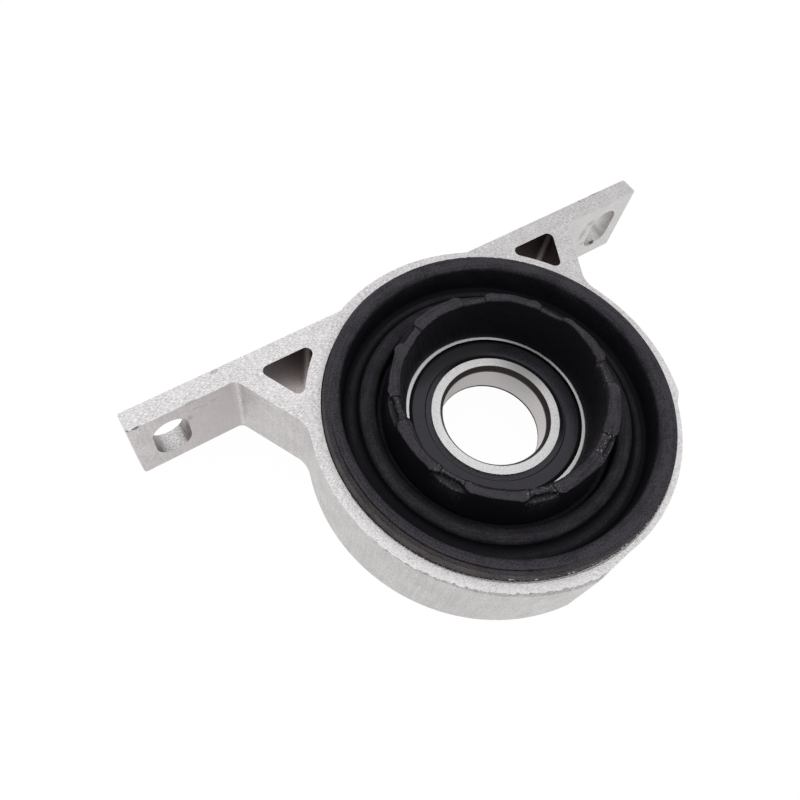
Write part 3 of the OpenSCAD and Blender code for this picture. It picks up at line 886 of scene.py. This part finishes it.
def worn_edge(tree, place, sawn):
    """Masks of the ring's worn lower edge and of the dark chips along it: past a ragged radius, smallest at
    one place, the sawn face gives way to the wall."""
    worn_at = (-22.8, -56.6, FRONT_Z)
    worn_w = 0.9
    reach = (70.0, 5.0)
    fade = (75.0, 60.0)
    ragged_grain, ragged = 1.6, 0.25
    soft = 0.12
    chip_edge = (0.35, 0.1)
    chip_scale, chip_span = 0.55, (0.53, 0.62)
    point = place["Point"]
    away = tree.distance(point, worn_at)
    uneven = grains(tree, point, ragged_grain, -ragged, ragged)
    edge_r = tree.math("ADD", tree.span(away, *reach, RING_R, RING_R - worn_w), uneven)
    past = tree.math("SUBTRACT", place["Radius"], edge_r)
    near = tree.product(tree.span(away, *fade), sawn)
    worn = tree.product(tree.span(past, -soft, soft), near)
    edge = tree.span(tree.math("ABSOLUTE", past), *chip_edge)
    chips = tree.span(tree.noise(point, chip_scale, detail=4.0, roughness=0.65), *chip_span)
    return worn, tree.product(edge, chips, near)


def bracket_material():
    """Aluminium: pale sparkling sawn faces with faint saw lines and painted light on the left and near side,
    smoother darker extruded walls with lines along the extrusion, window walls darkened by painted shade,
    streaky slots with painted light in the right one, and nicks, a painted shadow in the right slot, smudges
    and a worn lower edge."""
    sawn_facing = (0.6, 0.9)
    wall_roughness, sawn_roughness = 0.42, 0.55
    die_relief = 0.3
    chip_strength, nick_and_shadow_strength, smudge_strength = 0.5, 0.85, 0.5
    material, tree, shader, place = new_material("bracket_aluminium")
    point = place["Point"]
    normal = surface_normal(tree)
    sawn = tree.span(tree.math("ABSOLUTE", normal["Z"]), *sawn_facing)
    sawn_color, sparkle = sawn_finish(tree, point)
    wall_color, die, mottle = extruded_finish(tree, point, normal)
    for mask, tone in (window_finish_and_shade(tree, point, mottle), slot_finish(tree, point, mottle)):
        wall_color = tree.blend(mask, wall_color, tone)
    color = tree.blend(sawn, wall_color, sawn_color)
    worn, chipped = worn_edge(tree, place, sawn)
    color = tree.blend(worn, color, wall_color)
    color = tree.blend(tree.product(chipped, chip_strength), color, NICK_TONE)
    marks = ((NICK_TONE, nick_and_shadow_strength, NICKS_AND_SLOT_SHADOW), (SMUDGE_TONE, smudge_strength, SMUDGES))
    for tone, strength, spots in marks:
        for centre, stretch in spots:
            mask = tree.group(SPOT, Point=point, Centre=centre, Stretch=stretch)["Mask"]
            color = tree.blend(tree.product(mask, strength), color, tone)
    roughness = tree.span(sawn, 0.0, 1.0, wall_roughness, sawn_roughness)
    rougher = tree.math("SUBTRACT", sparkle, die)
    height = tree.math("MULTIPLY_ADD", sawn, rougher, tree.product(die, die_relief))
    shader.inputs["Metallic"].default_value = 1.0
    finish_material(tree, shader, color, roughness, height, bump=0.05)
    return material


# Rubber and steel

def bellows_material():
    """Moulded rubber: near black, greyed by grainy dust on what faces up, with the painted shade and light
    that the dust attribute carries, warmer beside the ring, painted paler on the rim's outer side beside the
    ring on the near side, and with pale scuffs and painted highlights on the notches' lit edges."""
    clean = (0.0042, 0.0036, 0.0056, 1.0)
    dusty = (0.0580, 0.0545, 0.0625, 1.0)
    warm_dust = (0.068, 0.056, 0.052, 1.0)
    side_painted_light_tone = (0.125, 0.112, 0.110, 1.0)
    scuff_and_highlight_tone = (0.30, 0.29, 0.285, 1.0)
    sheen = (0.93, 0.88, 1.0, 1.0)
    beside_span = (RUBBER_R - 2.6, RUBBER_R - 1.8)
    rim_span = (RUBBER_R - 7.0, RUBBER_R - 6.0)
    up_span = (0.1, 0.85, 0.25, 1.0)
    cloud_grain, fine_grain, streak_grain, warm_grain, relief_grain = 5.0, 0.5, 0.7, 7.0, 0.55
    cloud_range, streak_range = (0.7, 1.05), (0.68, 1.25)
    least_range, most_range = (0.5, 0.42), (1.5, 1.68)
    round_stretch = (0.06, 0.06, 0.0)
    warm_towards = (-0.79, -0.62, 0.0)
    warm_span = (34.0, 48.0)
    side_facing = (0.85, 0.5)
    side_span = (5.0, 25.0, 0.2, 1.0)
    rubbed_stretch = (1.0, 1.0, 0.4)
    rubbed_scale, pale_patch_span = 1.4, (0.56, 0.66)
    clean_roughness, dusty_roughness = 0.55, 0.8
    material, tree, shader, place = new_material("bellows_rubber")
    point = place["Point"]
    normal = surface_normal(tree)
    dust_and_painted_light = tree.add("ShaderNodeAttribute", attribute_name="dust_and_painted_light").outputs["Fac"]
    scuff_and_highlight = tree.add("ShaderNodeAttribute", attribute_name="scuff_and_highlight").outputs["Fac"]
    beside_ring = tree.span(place["Radius"], *beside_span)
    facing_up = tree.span(tree.math("ABSOLUTE", normal["Z"]), *up_span)
    facing_up = tree.largest(facing_up, beside_ring)
    on_rim = tree.span(place["Radius"], *rim_span)
    least = tree.span(on_rim, 0.0, 1.0, *least_range)
    most = tree.span(on_rim, 0.0, 1.0, *most_range)
    fine = grains(tree, point, fine_grain, least, most)
    cloud = grains(tree, point, cloud_grain, *cloud_range)
    slow = tree.stretched(point, round_stretch)
    round_line = tree.vector_math("ADD", slow, tree.join(Z=place["Radius"]))
    streak = grains(tree, round_line, streak_grain, *streak_range)
    share = tree.product(dust_and_painted_light, facing_up, cloud, fine, streak)
    near_side = tree.dot(point, warm_towards)
    warm = tree.product(beside_ring, grains(tree, point, warm_grain), tree.span(near_side, *warm_span))
    # Painted light: a paler tone on the rim's outer side beside the ring, on the near side.
    side = tree.product(beside_ring, tree.span(normal["Z"], *side_facing), tree.span(near_side, *side_span))
    dust_tone = tree.blend(side, tree.blend(warm, dusty, warm_dust), side_painted_light_tone)
    color = tree.blend(share, clean, dust_tone)
    streaked = tree.stretched(point, rubbed_stretch)
    pale_patch = tree.span(tree.noise(streaked, rubbed_scale, detail=4.0, roughness=0.7), *pale_patch_span)
    # Pale scuffs, with painted highlights on the lit edges of the near notches.
    color = tree.blend(tree.product(scuff_and_highlight, pale_patch), color, scuff_and_highlight_tone)
    roughness = tree.span(share, 0.0, 1.0, clean_roughness, dusty_roughness)
    shader.inputs["Specular IOR Level"].default_value = 0.1
    shader.inputs["Specular Tint"].default_value = sheen
    relief = grains(tree, point, relief_grain)
    finish_material(tree, shader, color, roughness, relief, bump=0.05)
    return material


def seal_material():
    """Satin moulded seal: near black, with faint rings from its mould, a dark line of painted shade in the
    groove at its rim, painted shade on its rougher far side, a dusty patch on one side of its inner lip and
    painted shade in the gap on the other."""
    low = (0.0082, 0.0076, 0.0096, 1.0)
    high = (0.0222, 0.0208, 0.0262, 1.0)
    painted_shade_tone = (0.0015, 0.0014, 0.0016, 1.0)
    lip_dust = (0.07, 0.067, 0.074, 1.0)
    sheen = (0.93, 0.89, 1.0, 1.0)
    ring_grain, fine_grain = 0.5, 0.7
    ring_weight, fine_weight = 0.5, 0.5
    satin_range = (0.20, 0.26)
    groove_r, groove_soft = 27.6, 0.15
    lip_r, lip_soft = 23.1, 0.2
    far_towards = (0.0, 1.0, 0.0)
    far_span = (15.0, 25.0)
    far_shade, far_dull = 0.8, 0.5
    dust_towards = (-0.9, -0.44, 0.0)
    dust_span = (-6.0, 22.0)
    lip_gap_span = (4.0, -12.0)
    material, tree, shader, place = new_material("seal_rubber")
    rings = grains(tree, tree.join(X=place["Radius"]), ring_grain)
    fine = grains(tree, place["Point"], fine_grain)
    share = tree.mixture((fine, fine_weight), (rings, ring_weight))
    # Painted shade: a near black line in the groove at the seal's rim, which is also made rough.
    groove = tree.span(place["Radius"], groove_r - groove_soft, groove_r + groove_soft)
    # Painted shade: the far side is darkened and made rougher.
    far = tree.span(tree.dot(place["Point"], far_towards), *far_span)
    color = tree.blend(tree.product(far, far_shade), tree.blend(share, low, high), painted_shade_tone)
    color = tree.blend(groove, color, painted_shade_tone)
    facing = tree.dot(place["Point"], dust_towards)
    on_lip = tree.span(place["Radius"], lip_r + lip_soft, lip_r - lip_soft)
    dusted = tree.product(on_lip, tree.span(facing, *dust_span), share)
    # Painted shade in the gap beside the inner lip, on the side away from the dust.
    lip_gap_shade = tree.product(on_lip, tree.span(facing, *lip_gap_span))
    color = tree.blend(dusted, color, lip_dust)
    color = tree.blend(lip_gap_shade, color, painted_shade_tone)
    satin = tree.span(share, 0.0, 1.0, *satin_range)
    roughness = tree.largest(satin, groove, lip_gap_shade, tree.product(far, far_dull))
    shader.inputs["Specular IOR Level"].default_value = 0.46
    shader.inputs["Specular Tint"].default_value = sheen
    finish_material(tree, shader, color, roughness, share, bump=0.012)
    return material


def bearing_steel_material():
    """Ground bearing steel: fine rings on the faces, a duller bore with painted shade on its far side,
    painted shade along the outer ring's inner edge beside the seal and in a patch on one side of the rings'
    faces, and dark unground heat scale on the bore's chamfers."""
    ground_low = (0.64, 0.632, 0.634, 1.0)
    ground_high = (1.0, 0.99, 0.992, 1.0)
    outer_tone = (0.97, 0.965, 0.965, 1.0)
    bore_low = (0.65, 0.628, 0.620, 1.0)
    bore_high = (0.83, 0.805, 0.796, 1.0)
    bore_shade_tone = (0.47, 0.450, 0.446, 1.0)
    scale_low = (0.020, 0.013, 0.012, 1.0)
    scale_high = (0.052, 0.038, 0.036, 1.0)
    shade_patch_tone = (0.44, 0.434, 0.434, 1.0)
    ring_grain, fine_grain = 0.35, 0.4
    ring_weight, fine_weight = 0.4, 0.6
    bore_span = (BORE_R + 0.15, BORE_R + 0.05)
    far_towards = (0.34, 0.94, 0.0)
    far_span = (-8.0, 17.0, 0.0, 0.6)
    chamfer_span = (CHAMFER_R + 0.02, CHAMFER_R - 0.04)
    scale_soft = 0.05
    outer_span = (25.0, 26.0)
    shade_patch_at = (21.5, 10.0, HALF_W)
    shade_patch_span = (16.0, 2.0)
    edge_r, edge_soft = 28.85, 0.06
    edge_shift = (0.0095, 0.0034, 0.0)
    scale_dullness = 0.6
    roughness_range, grain_roughness = (0.56, 0.58), 0.1
    material, tree, shader, place = new_material("bearing_ground_steel")
    point = place["Point"]
    rings = grains(tree, tree.join(X=place["Radius"], Y=place["Height"]), ring_grain)
    fine = grains(tree, point, fine_grain)
    share = tree.mixture((fine, fine_weight), (rings, ring_weight))
    bore = tree.blend(share, bore_low, bore_high)
    # Painted shade: the bore darkens towards its far side.
    bore = tree.blend(tree.span(tree.dot(point, far_towards), *far_span), bore, bore_shade_tone)
    in_bore = tree.span(place["Radius"], *bore_span)
    color = tree.blend(in_bore, tree.blend(share, ground_low, ground_high), bore)
    outside = tree.span(place["Radius"], *outer_span)
    color = tree.blend(outside, color, outer_tone)
    # Painted shade: a darker patch over one side of the rings' faces.
    color = tree.blend(tree.span(tree.distance(point, shade_patch_at), *shade_patch_span), color, shade_patch_tone)
    high = tree.span(tree.math("ABSOLUTE", place["Height"]), SCALE_Z - scale_soft, SCALE_Z + scale_soft)
    chamfer = tree.product(tree.span(place["Radius"], *chamfer_span), high)
    color = tree.blend(chamfer, color, tree.blend(fine, scale_low, scale_high))
    # Painted shade along the outer ring's inner edge beside the seal, off centre like the seal.
    shifted_r = tree.math("SUBTRACT", place["Radius"], tree.dot(point, edge_shift))
    edge = tree.product(outside, tree.span(shifted_r, edge_r + edge_soft, edge_r - edge_soft))
    color = tree.blend(edge, color, scale_low)
    smooth = tree.span(outside, 0.0, 1.0, *roughness_range)
    roughness = tree.mixture((share, grain_roughness), base=smooth)
    metal = tree.math("SUBTRACT", 1.0, tree.product(chamfer, scale_dullness))
    tree.put(shader.inputs["Metallic"], metal)
    finish_material(tree, shader, color, roughness, share, bump=0.008)
    return material


def plain_steel_material(name, low, high, roughness, grain):
    """Steel of the parts inside the bearing: two tones mixed by grains of the given size."""
    roughness_range = 0.08
    material, tree, shader, place = new_material(name)
    share = grains(tree, place["Point"], grain)
    color = tree.blend(share, low, high)
    shader.inputs["Metallic"].default_value = 1.0
    varied = tree.span(share, 0.0, 1.0, roughness, roughness + roughness_range)
    finish_material(tree, shader, color, varied, share, bump=0.005)
    return material


def paint(material, *names):
    """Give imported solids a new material."""
    for name in names:
        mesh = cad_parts[name].data
        mesh.materials.clear()
        mesh.materials.append(material)


# Studio

WHITE = (1.0, 1.0, 1.0, 1.0)


def studio_surface(name, pale, shade_kept):
    """A pale surface that the camera and reflections see almost white, keeping a share of its shading."""
    glow = 1.02
    material = bpy.data.materials.new(name)
    material.use_nodes = True
    tree = Tree(material.node_tree)
    material.node_tree.nodes.clear()
    matt = tree.add("ShaderNodeBsdfDiffuse", {"Color": pale}).outputs[0]
    white = tree.add("ShaderNodeEmission", {"Color": WHITE, "Strength": glow}).outputs[0]
    path = tree.add("ShaderNodeLightPath").outputs
    seen = tree.largest(path["Is Camera Ray"], path["Is Glossy Ray"], path["Is Transmission Ray"])
    share = tree.product(seen, 1.0 - shade_kept)
    mixed = tree.add("ShaderNodeMixShader", {0: share, 1: matt, 2: white}).outputs[0]
    tree.add("ShaderNodeOutputMaterial", {"Surface": mixed})
    return material


def build_floor():
    """The pale floor on which the bracket lies on its back: one large square."""
    half = 3000.0
    gap = 0.05
    pale = (0.86, 0.86, 0.86, 1.0)
    shade_kept = 0.05
    corners = np.array([(-half, -half), (half, -half), (half, half), (-half, half)])
    points = np.column_stack([corners, np.full(4, BACK_Z - gap)]) * MM
    mesh = bpy.data.meshes.new("studio_floor")
    mesh.from_pydata(points, [], np.arange(4)[None, :])
    mesh.materials.append(studio_surface("studio_floor", pale, shade_kept))
    floor = bpy.data.objects.new("studio_floor", mesh)
    bpy.context.scene.collection.objects.link(floor)


def build_world():
    """Soft light from all round, strongest overhead; the camera sees plain white."""
    overhead = (1.08, 1.08, 1.08, 1.0)
    level = (0.50, 0.50, 0.505, 1.0)
    rise_span = (0.2, 1.0)
    world = bpy.data.worlds.new("studio")
    bpy.context.scene.world = world
    world.use_nodes = True
    world.node_tree.nodes.clear()
    tree = Tree(world.node_tree)
    direction = tree.add("ShaderNodeTexCoord").outputs["Generated"]
    light = tree.blend(tree.span(tree.split(direction)["Z"], *rise_span), level, overhead)
    path = tree.add("ShaderNodeLightPath").outputs
    light = tree.blend(path["Is Camera Ray"], light, WHITE)
    background = tree.add("ShaderNodeBackground", {"Color": light, "Strength": 1.0}).outputs[0]
    tree.add("ShaderNodeOutputWorld", {"Surface": background})


def add_softbox(name, at, aim, size, power):
    """A square area light at a point in millimetres, turned towards another."""
    data = bpy.data.lights.new(name, "AREA")
    data.size = size * MM
    data.energy = power
    lamp = bpy.data.objects.new(name, data)
    bpy.context.scene.collection.objects.link(lamp)
    offset = Vector(aim) - Vector(at)
    turn = offset.to_track_quat("-Z", "Y").to_matrix().to_4x4()
    lamp.matrix_world = Matrix.Translation(Vector(at) * MM) @ turn


def build_camera():
    """The photograph's camera, from its place, its aim and its right-hand direction."""
    back = -Vector(CAMERA_AIM).normalized()
    right = Vector(CAMERA_RIGHT).normalized()
    up = back.cross(right)
    data = bpy.data.cameras.new("photo_camera")
    data.lens = CAMERA_LENS
    data.sensor_width = SENSOR
    data.clip_start = 0.005
    camera = bpy.data.objects.new("photo_camera", data)
    bpy.context.scene.collection.objects.link(camera)
    turn = Matrix((right, up, back)).transposed().to_4x4()
    camera.matrix_world = Matrix.Translation(Vector(CAMERA_AT) * MM) @ turn
    bpy.context.scene.camera = camera


aluminium = bracket_material()
rubber = bellows_material()
seal = seal_material()
ground_steel = bearing_steel_material()
pressed_steel = plain_steel_material(
    "cage_pressed_steel",
    low=(0.42, 0.41, 0.39, 1.0),
    high=(0.52, 0.51, 0.49, 1.0),
    roughness=0.38,
    grain=0.8,
)
ball_steel = plain_steel_material(
    "ball_polished_steel",
    low=(0.74, 0.74, 0.75, 1.0),
    high=(0.80, 0.80, 0.81, 1.0),
    roughness=0.10,
    grain=1.5,
)

paint(aluminium, "housing_bracket")
paint(ground_steel, "bearing_outer_ring", "bearing_inner_ring")
paint(pressed_steel, "cage_front", "cage_rear", "cage_rivets")
paint(seal, "seal_front", "seal_rear")
paint(ball_steel, *[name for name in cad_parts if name.startswith("ball_")])
build_bellows(rubber)
build_bore_burr(aluminium)
build_rim_swarf(aluminium)

build_floor()
build_world()
add_softbox("key_softbox", at=(-250.0, 550.0, 1000.0), aim=ORIGIN, size=900.0, power=0.8)
build_camera()

scene = bpy.context.scene
scene.view_settings.view_transform = "Standard"
